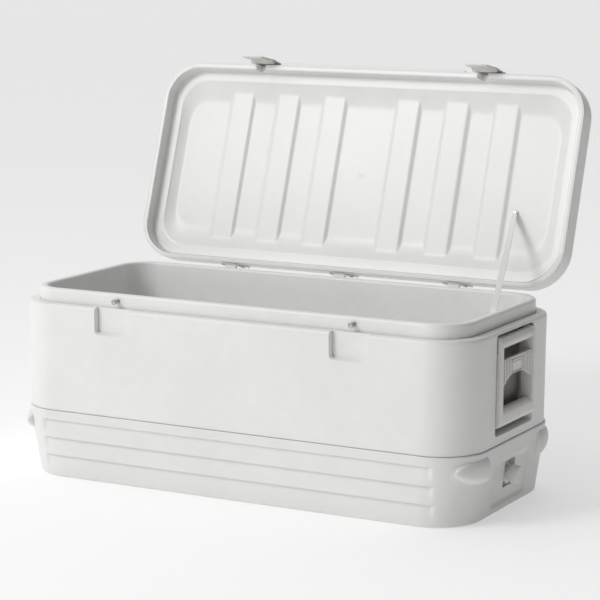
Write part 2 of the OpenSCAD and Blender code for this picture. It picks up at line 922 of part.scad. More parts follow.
// Turns a point from the shut lid to the open one.
function opened(p) = [
    p[0],
    hinge_y + (p[1] - hinge_y) * cos(lid_open) + (p[2] - hinge_z) * sin(lid_open),
    hinge_z - (p[1] - hinge_y) * sin(lid_open) + (p[2] - hinge_z) * cos(lid_open)
];

strap_top = opened([lid_anchor[0], lid_anchor[1], recess_floor - anchor_height - 2]);
strap_bottom = [tub_anchor[0] - 7, tub_anchor[1], tub_anchor[2]];
strap_run = strap_top - strap_bottom;
strap_length = norm(strap_run);
strap_margin = 9;

module stay_strap() {
    color(off_white)
        translate(strap_bottom)
            rotate([0, acos(strap_run[2] / strap_length), atan2(strap_run[1], strap_run[0])])
                rotate([0, 0, 55])
                    translate([-strap_width / 2, -strap_thickness / 2, strap_margin])
                        cube([strap_width, strap_thickness, strap_length - 2 * strap_margin]);
}

module strap_lid_anchor() {
    color(off_white)
        open_lid()
            translate([lid_anchor[0], lid_anchor[1], recess_floor - anchor_height])
                difference() {
                    cylinder(r = anchor_radius, h = anchor_height - fixed_fit, $fn = round_fn);
                    cylinder(r = screw_radius + fixed_fit, h = 20, center = true, $fn = round_fn);
                }
}

module strap_tub_anchor() {
    color(off_white)
        translate(tub_anchor)
            difference() {
                rod_x(anchor_radius, -anchor_height - 0.5, -0.5, 0, 0);
                rod_x(screw_radius + fixed_fit, -20, 20, 0, 0);
            }
}

module strap_lid_screw() {
    color(metal)
        open_lid()
            translate([lid_anchor[0], lid_anchor[1], recess_floor - anchor_height]) {
                cylinder(r = screw_radius, h = 14, $fn = round_fn);
                translate([0, 0, -1.5])
                    cylinder(r = 3.5, h = 1.5, $fn = round_fn);
            }
}

module strap_tub_screw() {
    color(metal)
        translate(tub_anchor) {
            rod_x(screw_radius, -anchor_height - 0.5, skin + 1, 0, 0);
            rod_x(3.5, -anchor_height - 2, -anchor_height - 0.5, 0, 0);
        }
}

body_shell();
base_pan();
tub_liner();
body_foam();
foam_fill_plugs();
lid_cover();
lid_liner();
lid_foam();
translate([hinge_xs[0], 0, 0]) body_leaf();  // hinge_left_body_leaf
translate([hinge_xs[0], 0, 0]) lid_leaf();  // hinge_left_lid_leaf
translate([hinge_xs[0], 0, 0]) hinge_pin();  // hinge_left_pin
translate([hinge_xs[1], 0, 0]) body_leaf();  // hinge_middle_body_leaf
translate([hinge_xs[1], 0, 0]) lid_leaf();  // hinge_middle_lid_leaf
translate([hinge_xs[1], 0, 0]) hinge_pin();  // hinge_middle_pin
translate([hinge_xs[2], 0, 0]) body_leaf();  // hinge_right_body_leaf
translate([hinge_xs[2], 0, 0]) lid_leaf();  // hinge_right_lid_leaf
translate([hinge_xs[2], 0, 0]) hinge_pin();  // hinge_right_pin
hinge_body_screws();
hinge_lid_screws();
translate([-hinge_spacing, 0, 0]) latch();  // latch_left
translate([-hinge_spacing, 0, 0]) latch_bracket();  // latch_left_bracket
translate([-hinge_spacing, 0, 0]) latch_pin();  // latch_left_pin
translate([hinge_spacing, 0, 0]) latch();  // latch_right
translate([hinge_spacing, 0, 0]) latch_bracket();  // latch_right_bracket
translate([hinge_spacing, 0, 0]) latch_pin();  // latch_right_pin
latch_bracket_screws();
translate([-hinge_spacing, 0, 0]) keeper_stud();  // keeper_stud_left
translate([hinge_spacing, 0, 0]) keeper_stud();  // keeper_stud_right
mirror([1, 0, 0]) handle();  // handle_left
mirror([1, 0, 0]) handle_mount();  // handle_left_mount
mirror([1, 0, 0]) handle_pins();  // handle_left_pins
handle();  // handle_right
handle_mount();  // handle_right_mount
handle_pins();  // handle_right_pins
handle_mount_screws();
drain_spout();
drain_gasket();
drain_nut();
drain_cap();
drain_cap_washer();
stay_strap();
strap_lid_anchor();
strap_lid_screw();
strap_tub_anchor();
strap_tub_screw();
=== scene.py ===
import json
import math

import bmesh
import bpy
from mathutils import Matrix, Vector


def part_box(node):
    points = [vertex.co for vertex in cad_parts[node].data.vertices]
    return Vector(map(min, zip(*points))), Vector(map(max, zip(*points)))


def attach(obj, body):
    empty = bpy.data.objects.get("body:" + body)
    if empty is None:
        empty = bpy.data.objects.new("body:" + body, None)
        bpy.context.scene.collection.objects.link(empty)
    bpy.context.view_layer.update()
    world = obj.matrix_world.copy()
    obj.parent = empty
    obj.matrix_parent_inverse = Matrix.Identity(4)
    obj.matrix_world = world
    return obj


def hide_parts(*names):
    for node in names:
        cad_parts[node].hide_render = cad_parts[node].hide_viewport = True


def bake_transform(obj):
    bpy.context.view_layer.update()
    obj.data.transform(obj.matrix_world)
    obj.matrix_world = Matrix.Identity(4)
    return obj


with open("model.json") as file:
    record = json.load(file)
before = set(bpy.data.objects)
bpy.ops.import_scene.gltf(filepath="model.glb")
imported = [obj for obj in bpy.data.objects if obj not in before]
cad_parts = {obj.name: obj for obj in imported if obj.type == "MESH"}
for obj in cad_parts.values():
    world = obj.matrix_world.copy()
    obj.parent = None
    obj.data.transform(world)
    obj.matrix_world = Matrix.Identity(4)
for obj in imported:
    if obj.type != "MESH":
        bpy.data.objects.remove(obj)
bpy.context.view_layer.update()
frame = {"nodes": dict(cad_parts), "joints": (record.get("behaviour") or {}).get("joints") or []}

# ---- Upper shell ----
# The outer wall above the parting line is one off-white blow-moulded plastic skin with a
# rounded ledge for the lid. Finger pockets are moulded into the front under each latch, and
# a deep pocket into each end behind the handle.
MM = 0.001
shell_low, shell_high = (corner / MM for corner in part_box("body_shell"))
half_length, half_depth = shell_high.x, shell_high.y
parting, ledge = shell_low.z, shell_high.z
body_corner = 88
wall_draft = 1.5
collar_setback = 21
hinge_spacing = 249


def outline(half_x, half_y, radius, corner=24, along_x=40, along_y=18):
    """Points round a rounded rectangle, with the same number whatever its size."""
    points = []
    corners = ((1, 1), (-1, 1), (-1, -1), (1, -1))
    for index, (side_x, side_y) in enumerate(corners):
        centre = Vector((side_x * (half_x - radius), side_y * (half_y - radius)))
        for step in range(corner + 1):
            turn = math.radians(90 * (index + step / corner))
            points.append(centre + Vector((math.cos(turn), math.sin(turn))) * radius)
        next_x, next_y = corners[(index + 1) % 4]
        turn = math.radians(90 * (index + 1))
        far = Vector((next_x * (half_x - radius), next_y * (half_y - radius)))
        far += Vector((math.cos(turn), math.sin(turn))) * radius
        steps = along_y if index % 2 else along_x
        start = points[-1].copy()
        points += [start.lerp(far, step / steps) for step in range(1, steps)]
    return points


def level(half_x, half_y, radius, height, **counts):
    return [Vector((p.x, p.y, height)) for p in outline(half_x, half_y, max(radius, 0.01), **counts)]


def loft(rings, low_cap=True, high_cap=True):
    """Skins a stack of rings, and closes its ends where asked."""
    count = len(rings[0])
    points = [p for ring in rings for p in ring]
    faces = []
    for low in range(0, len(points) - count, count):
        for step in range(count):
            after = (step + 1) % count
            faces.append((low + step, low + after, low + count + after, low + count + step))
    if low_cap:
        faces.append(tuple(reversed(range(count))))
    if high_cap:
        faces.append(tuple(range(len(points) - count, len(points))))
    return points, faces


def mirrored(part, axis):
    flip = Vector([-1 if axis == name else 1 for name in "xyz"])
    return [Vector(p) * flip for p in part[0]], [tuple(reversed(face)) for face in part[1]]


def piece(name, part, closed=True):
    mesh = bpy.data.meshes.new(name)
    mesh.from_pydata([Vector(p) * MM for p in part[0]], [], part[1])
    if closed:
        work = bmesh.new()
        work.from_mesh(mesh)
        bmesh.ops.recalc_face_normals(work, faces=work.faces)
        work.to_mesh(mesh)
        work.free()
    made = bpy.data.objects.new(name, mesh)
    bpy.context.scene.collection.objects.link(made)
    return made


def settle(made, angle=35):
    """Applies what modifiers a piece has, and shades it smooth up to an angle."""
    bpy.context.view_layer.update()
    depsgraph = bpy.context.evaluated_depsgraph_get()
    done = bpy.data.meshes.new_from_object(made.evaluated_get(depsgraph))
    made.modifiers.clear()
    made.data = done
    done.name = made.name
    done.polygons.foreach_set("use_smooth", [True] * len(done.polygons))
    done.set_sharp_from_angle(angle=math.radians(angle))
    return made


def cut(made, *tools):
    for tool in tools:
        cutter = piece("cutter", tool)
        change = made.modifiers.new("cut", "BOOLEAN")
        change.operation, change.solver, change.object = "DIFFERENCE", "EXACT", cutter
        settle(made)
        bpy.data.objects.remove(cutter)
    return made


class Wire:
    """One shader socket, so that sums on it can be written as sums."""

    def __init__(self, finish, socket):
        self.finish, self.socket = finish, socket

    def _sum(self, operation, first, second):
        return self.finish.node("Math", {"operation": operation}, {0: first, 1: second})

    def __add__(self, other):
        return self._sum("ADD", self, other)

    def __radd__(self, other):
        return self._sum("ADD", other, self)

    def __mul__(self, other):
        return self._sum("MULTIPLY", self, other)

    def __rmul__(self, other):
        return self._sum("MULTIPLY", other, self)


class Finish:
    """A surface finish that is being put together from nodes."""

    def __init__(self, name):
        self.material = bpy.data.materials.new(name)
        self.material.use_nodes = True
        self.tree = self.material.node_tree
        self.shader = self.tree.nodes["Principled BSDF"]

    def node(self, kind, settings=None, sockets=None, output=0):
        made = self.tree.nodes.new("ShaderNode" + kind)
        for name, value in (settings or {}).items():
            if name == "stops":
                ramp = made.color_ramp.elements
                while len(ramp) < len(value):
                    ramp.new(0.5)
                for stop, (place, tone) in zip(ramp, value):
                    stop.position, stop.color = place, (tone, tone, tone, 1)
            else:
                setattr(made, name, value)
        for name, value in (sockets or {}).items():
            self.feed(made.inputs[name], value)
        return Wire(self, made.outputs[output])

    def mixed(self, mask, first, second):
        """Two colours, either of them flat or a wire, blended by a mask."""
        first, second = (tone if isinstance(tone, Wire) else (*tone, 1) for tone in (first, second))
        return self.node("Mix", {"data_type": "RGBA"}, {0: mask, 6: first, 7: second}, output=2)

    def feed(self, socket, value):
        if isinstance(value, Wire):
            self.tree.links.new(value.socket, socket)
        else:
            socket.default_value = value

    def surface(self, **sockets):
        for name, value in sockets.items():
            self.feed(self.shader.inputs[name.replace("_", " ")], value)
        return self.material


def moulded_plastic(name, pale, deep, roughness, grain=0.12, soil=0.0, edge=1.2):
    """Polyolefin as it leaves the mould: faint mottling, fine grain, rubbed edges, a little soil."""
    finish = Finish(name)
    place = finish.node("TexCoord", output=3)
    broad = finish.node("TexNoise", None, {"Vector": place, "Scale": 5.0, "Detail": 3.0})
    patches = finish.node("TexNoise", None, {"Vector": place, "Scale": 34.0, "Detail": 5.0, "Roughness": 0.6})
    pebble = finish.node("TexNoise", None, {"Vector": place, "Scale": 1300.0, "Detail": 2.0})
    flow = finish.node("Mapping", None, {"Vector": place, "Scale": (6.0, 6.0, 240.0)})
    scuffs = finish.node("TexNoise", None, {"Vector": flow, "Scale": 9.0, "Detail": 6.0, "Roughness": 0.7})
    rubbed = finish.node("ValToRGB", {"stops": [(0.62, 0.0), (0.78, 1.0)]}, {"Fac": scuffs})
    mottling = broad * 0.6 + patches * 0.4
    blend = finish.node("ValToRGB", {"stops": [(0.38, 0.0), (0.64, 1.0)]}, {"Fac": mottling})
    colour = finish.mixed(blend, deep, pale)
    if soil:
        height = finish.node("SeparateXYZ", None, {0: place}, output=2)
        low = finish.node(
            "MapRange", None,
            {"Value": height, "From Min": 0.0, "From Max": 0.05, "To Min": 1.0, "To Max": 0.0},
        )
        colour = finish.mixed(low * patches * soil, colour, (0.42, 0.40, 0.36))
    rounded = finish.node("Bevel", {"samples": 6}, {"Radius": edge * MM})
    bump = finish.node(
        "Bump", None,
        {"Strength": grain, "Distance": 0.0004, "Height": pebble + broad * 1.5, "Normal": rounded},
    )
    finish.surface(
        Base_Color=colour,
        Roughness=patches * 0.12 + rubbed * 0.08 + (roughness - 0.06),
        Normal=bump,
    )
    finish.shader.inputs["IOR"].default_value = 1.46
    finish.shader.inputs["Subsurface Weight"].default_value = 0.0
    return finish.material


shell_plastic = moulded_plastic("shell_plastic", (0.83, 0.83, 0.82), (0.79, 0.79, 0.775), 0.40)


def dress(made, finish, slot, body, *nodes):
    made.data.materials.clear()
    made.data.materials.append(finish)
    if nodes:
        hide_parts(*nodes)
    if body:
        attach(made, body)
    return made


def shell_level(setback, height):
    drawn_in = wall_draft * (ledge - height) / (ledge - parting) + setback
    return level(half_length - drawn_in, half_depth - drawn_in, body_corner - setback, height)


collar_length = half_length - collar_setback
collar_depth = half_depth - collar_setback
collar_corner = body_corner - collar_setback
inner_length, inner_depth, inner_corner = 446, 184, 56
foot_edge = [(3, 0), (0.8, 0), (0.1, 0.8)]
ledge_edge = [(0, 8), (0.25, 5.6), (0.9, 3.4), (1.9, 1.7), (3.2, 0.6), (4.8, 0.1), (6.4, 0)]
collar_seam = [(3, 0), (1.2, 0.3), (0.4, 1.2), (0.3, 5)]
wall_rows = 8
rings = [shell_level(setback, parting + rise) for setback, rise in foot_edge]
for step in range(wall_rows + 1):
    rings.append(shell_level(0, parting + 2 + (ledge - 10 - parting) * step / wall_rows))
rings += [shell_level(setback, ledge - drop) for setback, drop in ledge_edge]
for grown, drop in collar_seam:
    rings.append(level(collar_length + grown, collar_depth + grown, collar_corner + grown, ledge - drop))
rings += [level(inner_length, inner_depth, inner_corner, height) for height in (ledge - 6, parting)]
shell_part = loft(rings, low_cap=False, high_cap=False)
ring_size = len(rings[0])
last_ring = len(shell_part[0]) - ring_size
shell_part[1].extend(
    (last_ring + step, last_ring + (step + 1) % ring_size, (step + 1) % ring_size, step)
    for step in range(ring_size)
)


def fillet(points, radii, steps=6):
    """Rounds the corners of a flat outline."""
    done = []
    for index, point in enumerate(points):
        here = Vector(point)
        before = (Vector(points[index - 1]) - here).normalized()
        after = (Vector(points[(index + 1) % len(points)]) - here).normalized()
        radius = radii[index] if isinstance(radii, (list, tuple)) else radii
        half_turn = before.angle(after) / 2
        if radius < 0.01 or half_turn > 1.55:
            done.append(here)
            continue
        reach = radius / math.tan(half_turn)
        first, last = here + before * reach, here + after * reach
        for step in range(steps + 1):
            part = step / steps
            bend = first.lerp(here, part).lerp(here.lerp(last, part), part)
            done.append(bend)
    return done


def standing(flat, axis, place):
    """Puts a flat outline at a place along one axis: its own two axes follow in x, y, z order."""
    along = "xyz".index(axis)
    return [Vector((*p[:along], place, *p[along:])) for p in flat]


mount_low, mount_high = (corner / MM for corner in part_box("handle_right_mount"))
pocket_back = mount_low.x
pocket_half = mount_high.y
pocket_floor_z, pocket_roof_z = mount_low.z, mount_high.z


def end_pocket(grow_side, grow_low, grow_high):
    side, low, high = pocket_half + grow_side, pocket_floor_z - grow_low, pocket_roof_z + grow_high
    return [(-side, low), (side, low), (side, high), (-side, high)]


pocket_tool = loft([
    standing(fillet(end_pocket(0, 0, 0), 5), "x", pocket_back),
    standing(fillet(end_pocket(0.2, 1, 0), 5), "x", pocket_back + 4),
    standing(fillet(end_pocket(1.5, 2.4, -0.5), 8), "x", half_length - 4),
    standing(fillet(end_pocket(3.5, 5, 0.5), 9), "x", half_length + 0.5),
    standing(fillet(end_pocket(6, 8, 1), 10), "x", half_length + 6),
])
finger_half, finger_head, finger_foot = 37, ledge + 4, ledge - 49
finger_flare = [(12, 1.5, -1.5), (9, 0, 0), (1.5, 1.6, 1.6), (-3, 4.5, 4.5)]
latch_tools = []
for place in (-hinge_spacing, hinge_spacing):
    rings = []
    for depth, wider, lower in finger_flare:
        side, foot = finger_half + wider, finger_foot - lower
        corners = [
            (place - side, finger_head), (place + side, finger_head),
            (place + side, foot), (place - side, foot),
        ]
        rings.append(standing(fillet(corners, [0, 0, 9, 9]), "y", depth - half_depth))
    latch_tools.append(loft(rings))
shell = piece("upper_shell", shell_part)
settle(shell)
cut(shell, pocket_tool, mirrored(pocket_tool, "x"), *latch_tools)
dress(shell, shell_plastic, "shell_plastic", "cooler_body", "body_shell")

# ---- Base pan ----
# The lower pan is a second blow-moulded skin with a slightly proud rim, a rounded foot and
# lapped boards down both long sides. A bullet-shaped bumper wraps each corner, and the right
# end is let in round the drain.
pan_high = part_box("base_pan")[1] / MM
pan_top = pan_high.z
pan_length, pan_depth = half_length + 1.5, pan_high.y
pan_draft, foot_round = 14, 7
board_tops, board_run, board_step, board_half = (114, 79, 44), 35, 5.5, 413
board_lip, board_taper = 1.2, board_run - 2.5
end_panel_inset, end_panel_foot, end_panel_head, end_panel_side = 3.5, (12, 20), (92, 102), (70, 80)
foot_curve = [(0, 7), (0.1, 5.5), (0.9, 3.2), (2.6, 1.2), (4.8, 0.3)]
rim_curve = [(2, 0.1), (0.8, 0.6), (0.15, 1.5), (0, 3)]
pan_rows = 40
base_plastic = moulded_plastic(
    "base_plastic", (0.81, 0.81, 0.80), (0.765, 0.765, 0.75), 0.44, grain=0.16, soil=0.22
)


def eased(value, low, high):
    part = min(max((value - low) / (high - low), 0), 1)
    return part * part * (3 - 2 * part)


def board_depth(height):
    """How far the boards stand in from the pan's plain side at a height."""
    for top in board_tops:
        if top - board_run < height <= top + board_lip:
            lean = max(1 - max(top - 1 - height, 0) / board_taper, 0)
            return board_step * (1 - eased(height, top - 1.4, top + board_lip)) * lean
    return 0


def pan_level(height, setback=0.0):
    drawn_in = pan_draft * (pan_top - max(height, foot_round)) / (pan_top - foot_round) + setback
    points = level(
        pan_length - drawn_in, pan_depth - drawn_in, body_corner - setback, height,
        corner=40, along_x=80, along_y=40,
    )
    inset = board_depth(height)
    panel = end_panel_inset * eased(height, *end_panel_foot) * (1 - eased(height, *end_panel_head))
    for point in points:
        across = 1 - eased(abs(point.x), board_half - 9, board_half)
        point.y -= math.copysign(inset * across, point.y)
        within = 1 - eased(abs(point.y), *end_panel_side)
        if abs(point.x) > board_half:
            point.x -= math.copysign(panel * within, point.x)
    return points


heights = {foot_round + (pan_top - 4 - foot_round) * step / pan_rows for step in range(pan_rows + 1)}
for top in board_tops:
    heights |= {top + lift for lift in (1.3, 0.9, 0.5, 0.1, -0.3, -0.7, -1.1, -1.5, -2.5)}
rings = [pan_level(height, setback) for height, setback in foot_curve]
rings += [pan_level(height) for height in sorted(heights) if height >= foot_round]
rings += [pan_level(pan_top - drop, setback) for drop, setback in rim_curve]
base = piece("base_pan_skin", loft(rings))
settle(base)

drain_low, drain_high = (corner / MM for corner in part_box("drain_cap"))
drain_z = (drain_low.z + drain_high.z) / 2
drain_seat = (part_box("drain_gasket")[0] / MM).x
recess_foot, recess_head = drain_z - 23, drain_z + 28
recess_corners = [(-24, recess_foot), (23, recess_foot), (23, recess_head), (-24, recess_head)]
recess_outline = fillet(recess_corners, 7)
cut(base, loft([standing(recess_outline, "x", x) for x in (drain_seat, drain_seat + 40)]))
bumper_steps, bumper_sides = 32, 32
point_radius, full_radius, blunt_from = 1.2, 19.5, 0.9


def merged(*parts):
    points, faces = [], []
    for part_points, part_faces in parts:
        start = len(points)
        points += part_points
        faces += [tuple(start + corner for corner in face) for face in part_faces]
    return points, faces


def blunt_bumper():
    """Rings along the bumper, from its point on the long side to its blunt end by the drain."""
    tip = Vector((half_length - 24, -half_depth + 15.5, 105))
    middle = Vector((half_length - 14, -half_depth + 58, 102))
    end = Vector((half_length - 8.5, -half_depth + 104, 99))
    rings = []
    for step in range(bumper_steps + 1):
        along = step / bumper_steps
        centre = tip.lerp(middle, along).lerp(middle.lerp(end, along), along)
        ahead = (middle - tip).lerp(end - middle, along).normalized()
        swell = 1 - (1 - min(along / 0.85, 1)) ** 2.3
        radius = point_radius + (full_radius - point_radius) * swell ** 0.8
        if along > blunt_from:
            radius *= math.sqrt(1 - 0.86 * ((along - blunt_from) / (1 - blunt_from)) ** 2)
        sideways = ahead.cross(Vector((0, 0, 1))).normalized()
        up = sideways.cross(ahead)
        ring = []
        for turn in range(bumper_sides):
            angle = 2 * math.pi * turn / bumper_sides
            out, rise = math.cos(angle), math.sin(angle)
            out = math.copysign(abs(out) ** 0.8, out)
            rise = math.copysign(abs(rise) ** 0.85, rise)
            ring.append(centre + (sideways * out * 0.95 + up * rise * 1.28) * radius)
        rings.append(ring)
    return loft(rings)


bumper = blunt_bumper()
others = [mirrored(bumper, "x"), mirrored(bumper, "y"), mirrored(mirrored(bumper, "x"), "y")]
bumpers = settle(piece("corner_bumpers", merged(bumper, *others)))
dress(base, base_plastic, "base_plastic", "cooler_body", "base_pan")
dress(bumpers, base_plastic, "base_plastic", "cooler_body")

# ---- Tub liner ----
# The inside of the body is one smooth plastic tub. Its rim rises above the ledge as a hollow
# collar that the lid drops over, and it is sunk round the drain so the last water runs out.
collar_top = (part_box("tub_liner")[1] / MM).z
collar_wall, tub_floor = 16, 52
cavity_length = collar_length - collar_wall
cavity_depth = collar_depth - collar_wall
cavity_corner = collar_corner - collar_wall
tub_draft, floor_round, corner_tightening = 5, 30, 10
tub_rows, round_rows = 10, 8
collar_curve = [(0.2, 4.2), (0.9, 2.4), (2.1, 1), (3.8, 0.2), (5.6, 0)]
mouth_curve = [(5.4, 0), (3.4, 0.25), (1.6, 1.2), (0.5, 2.8), (0, 5)]
liner_plastic = moulded_plastic(
    "liner_plastic", (0.84, 0.84, 0.828), (0.795, 0.795, 0.78), 0.30, grain=0.05
)


def collar_level(setback, corner_setback, height):
    return level(collar_length - setback, collar_depth - setback, collar_corner - corner_setback, height)


def cavity_level(inset, corner_inset, height):
    return level(cavity_length - inset, cavity_depth - inset, cavity_corner - corner_inset, height)


rings = [
    cavity_level(tub_draft - 2, -2, tub_floor - 3),
    cavity_level(tub_draft - 3, -3, tub_floor + floor_round),
    cavity_level(-2.2, -2.2, ledge - 6),
    collar_level(0.5, 0, ledge - 4),
]
rings += [collar_level(0, 0, height) for height in (ledge - 3, ledge + 8, collar_top - 6)]
rings += [collar_level(setback, setback, collar_top - drop) for setback, drop in collar_curve]
rings += [cavity_level(-grown, -grown, collar_top - drop) for grown, drop in mouth_curve]
for step in range(1, tub_rows + 1):
    part = step / tub_rows
    height = collar_top - 5 - (collar_top - 5 - tub_floor - floor_round) * part
    rings.append(cavity_level(tub_draft * part, 0, height))
for step in range(1, round_rows + 1):
    turn = math.radians(90 * step / round_rows)
    inset = tub_draft + floor_round * (1 - math.cos(turn))
    height = tub_floor + floor_round * (1 - math.sin(turn))
    rings.append(cavity_level(inset, corner_tightening * step / round_rows, height))


def round_rings(profile, axis, centre, steps=48):
    """Rings of a turned shape, from its list of (place along the axis, radius)."""
    turns = [2 * math.pi * step / steps for step in range(steps)]
    rings = []
    for along, radius in profile:
        flat = [
            (centre[0] + radius * math.cos(turn), centre[1] + radius * math.sin(turn))
            for turn in turns
        ]
        rings.append(standing(flat, axis, along))
    return rings


spout_flange = (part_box("drain_spout")[0] / MM).x
tub = settle(piece("tub", loft(rings)))
sump_profile = [(spout_flange - 40, 23), (spout_flange + 2.6, 21.5)]
cut(tub, loft(round_rings(sump_profile, "x", (0, drain_z))))
dress(tub, liner_plastic, "liner_plastic", "cooler_body", "tub_liner")

# ---- Lid ----
# The lid is a domed blow-moulded skin over a thermoformed liner that is bonded in at the rim.
# The liner has a flat flange, a step that fits over the collar, and a shallow recess with
# raised stiffening bands. Both are drawn shut, then turned open on the hinge line.
hinge = next(joint for joint in frame["joints"] if joint["name"] == "lid_hinge")
hinge_line = Vector(hinge["pos_m"]) / MM
open_angle = math.radians(hinge["range_deg"][1])
opened = (
    Matrix.Translation(hinge_line)
    @ Matrix.Rotation(-open_angle, 4, "X")
    @ Matrix.Translation(-hinge_line)
)
lid_length, lid_depth, lid_corner = 470, 208, 80
lid_bottom, skirt_top, lid_top = ledge + 0.8, ledge + 39.8, 446
rim_plane = collar_top + 0.6
long_steps = 320
dome = [
    (0, 0), (1.2, 6), (4.6, 14), (10, 24), (17, 37), (26, 52), (34, 58.6), (43, 63), (54, 65.6), (68, 66.2),
]


def moved(part, matrix):
    return [matrix @ Vector(p) for p in part[0]], part[1]


def lid_level(inset, height):
    radius = lid_corner - min(inset, 60) * 0.62
    return level(lid_length - inset, lid_depth - inset * 0.96, radius, height, along_x=long_steps)


stud_low, stud_high = (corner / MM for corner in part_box("keeper_stud_right"))
notch_half, notch_top = (stud_high.x - stud_low.x) / 2 + 3.5, stud_high.z + 0.6


def notched(rings):
    """Lifts the front edge clear of each keeper stud, as a notch right through the skirt."""
    for ring in rings:
        for point in ring:
            if point.y < 0 and abs(abs(point.x) - hinge_spacing) < notch_half:
                point.z = max(point.z, notch_top + 0.02 * (point.z - lid_bottom))
    return rings


rings = [lid_level(2.9, lid_bottom + 0.2), lid_level(0.9, lid_bottom), lid_level(0.15, lid_bottom + 0.7)]
rings += [lid_level(0, lid_bottom + 2 + (skirt_top - lid_bottom - 6) * step / 3) for step in range(4)]
rings += [lid_level(inset, skirt_top + rise) for inset, rise in dome]
rings += [lid_level(110, lid_top - 0.05), lid_level(160, lid_top)]
lid_skin = loft(notched(rings), low_cap=False)
lip_half, lip_root, lip_nose = 207, 2 - lid_depth, -lid_depth - 5.7
lip_corners = [(-lip_half, lip_root), (lip_half, lip_root), (lip_half, lip_nose), (-lip_half, lip_nose)]
lip_outline = fillet(lip_corners, [0, 0, 5, 5])
lip = loft([standing(lip_outline, "z", lid_bottom + rise) for rise in (6.2, 15.8)])
lid_cover = settle(piece("lid_cover_skin", moved(merged(lid_skin, lip), opened)), 40)
dress(lid_cover, shell_plastic, "shell_plastic", "lid", "lid_cover")

skirt_length, skirt_depth, skirt_corner = collar_length + 1, collar_depth + 2.1, collar_corner + 1
skirt_shift = Vector((0, 1.1, 0))
flange_face = [(3.05, 0.15), (4, 0), (9.6, 0)]
step_foot = [(1.6, 0.25), (0.4, 1.4), (0, 4)]
step_head = [(-0.6, -5), (-1.2, -1.6), (-2.6, -0.3), (-4.5, 0)]
recess_length, recess_back, recess_depth, recess_corner = 438, 176, 10, 58
slope_end, slope_front, floor_corner = 24, 46, 44
band_places = [side * (83 + 107 * step) for side in (-1, 1) for step in range(3)]
band_half, band_blend, band_height = 26, 3.5, 4
gate_depth, gate_radius, gate_edge = 0.5, 5, 7
rings = [lid_level(inset, lid_bottom + rise) for inset, rise in flange_face]
skirt_inside = [(grown, lid_bottom + rise) for grown, rise in step_foot]
skirt_inside += [(grown, rim_plane + rise) for grown, rise in step_head]
for grown, height in skirt_inside:
    ring = level(
        skirt_length + grown, skirt_depth + grown, skirt_corner + grown, height, along_x=long_steps
    )
    rings.append([p + skirt_shift for p in ring])
rings.append(level(recess_length - 2, recess_back - 1, 0.5, rim_plane + 0.03, along_x=long_steps))
flange = loft(notched(rings), low_cap=False, high_cap=False)


def beyond(x, y, half_x, half_y, radius):
    """Distance outside a rounded rectangle, negative inside."""
    across, down = abs(x) - half_x + radius, abs(y) - half_y + radius
    return math.hypot(max(across, 0), max(down, 0)) + min(max(across, down), 0) - radius


def underside(x, y):
    """Height of the liner's recess: a sloped border, a flat floor, raised bands and a gate mark."""
    outside = -beyond(x, y, recess_length - 0.5, recess_back, recess_corner)
    if outside <= 0:
        return rim_plane
    inside = beyond(x, y, recess_length - slope_end, recess_back - slope_front, floor_corner)
    part = 1 if inside <= 0 else outside / (outside + inside)
    sunk = recess_depth * (1 - (1 - part) ** 1.5)
    raised = 0
    for place in band_places:
        raised = max(raised, 1 - eased(abs(x - place), band_half - band_blend, band_half + band_blend))
    gate = gate_depth * (1 - eased(math.hypot(x, y), gate_radius, gate_edge))
    limit = recess_depth - band_height * raised
    soft = 1.1
    share = max(soft - abs(sunk - limit), 0) / soft
    return rim_plane + min(sunk, limit) - share * share * soft / 4 - gate


columns, lines = 340, 116
grid = []
for line in range(lines + 1):
    y = (recess_back + 1) * (2 * line / lines - 1)
    for column in range(columns + 1):
        x = (recess_length + 1) * (2 * column / columns - 1)
        grid.append(Vector((x, y, underside(x, y))))
grid_faces = []
for line in range(lines):
    for column in range(columns):
        low = line * (columns + 1) + column
        grid_faces.append((low, low + columns + 1, low + columns + 2, low + 1))
flange_turned = (flange[0], [tuple(reversed(face)) for face in flange[1]])
lid_inside_part = moved(merged(flange_turned, (grid, grid_faces)), opened)
lid_inside = settle(piece("lid_inside", lid_inside_part, closed=False), 50)
dress(lid_inside, liner_plastic, "liner_plastic", "lid", "lid_liner")

# ---- Hinges ----
# Three short moulded hinges join the lid to the back of the body. Each has a leaf on either
# side with interleaved knuckles on one steel pin, and two screws a leaf.
fitting_plastic = moulded_plastic(
    "fitting_plastic", (0.80, 0.80, 0.79), (0.75, 0.75, 0.735), 0.42, grain=0.18, edge=0.8
)


def bright_steel(name, roughness, scratches):
    """Stainless wire and screw stock, with fine drawing marks and a little dulling."""
    finish = Finish(name)
    place = finish.node("TexCoord", output=3)
    drawn = finish.node("Mapping", None, {"Vector": place, "Scale": (1.0, 14.0, 14.0)})
    marks = finish.node(
        "TexNoise", None, {"Vector": drawn, "Scale": scratches, "Detail": 4.0, "Roughness": 0.7}
    )
    dull = finish.node("TexNoise", None, {"Vector": place, "Scale": 90.0, "Detail": 3.0})
    colour = finish.mixed(dull, (0.36, 0.35, 0.34), (0.58, 0.57, 0.55))
    rounded = finish.node("Bevel", {"samples": 6}, {"Radius": 0.35 * MM})
    bump = finish.node(
        "Bump", None, {"Strength": 0.25, "Distance": 0.0001, "Height": marks, "Normal": rounded}
    )
    finish.surface(Base_Color=colour, Roughness=marks * 0.2 + dull * 0.1 + roughness, Normal=bump)
    finish.shader.inputs["Metallic"].default_value = 1.0
    return finish.material


steel = bright_steel("stainless_steel", 0.18, 700.0)


def dress_nodes(finish, slot, *names):
    for name in names:
        kept = frame["nodes"][name]
        kept.data.materials.clear()
        kept.data.materials.append(finish)


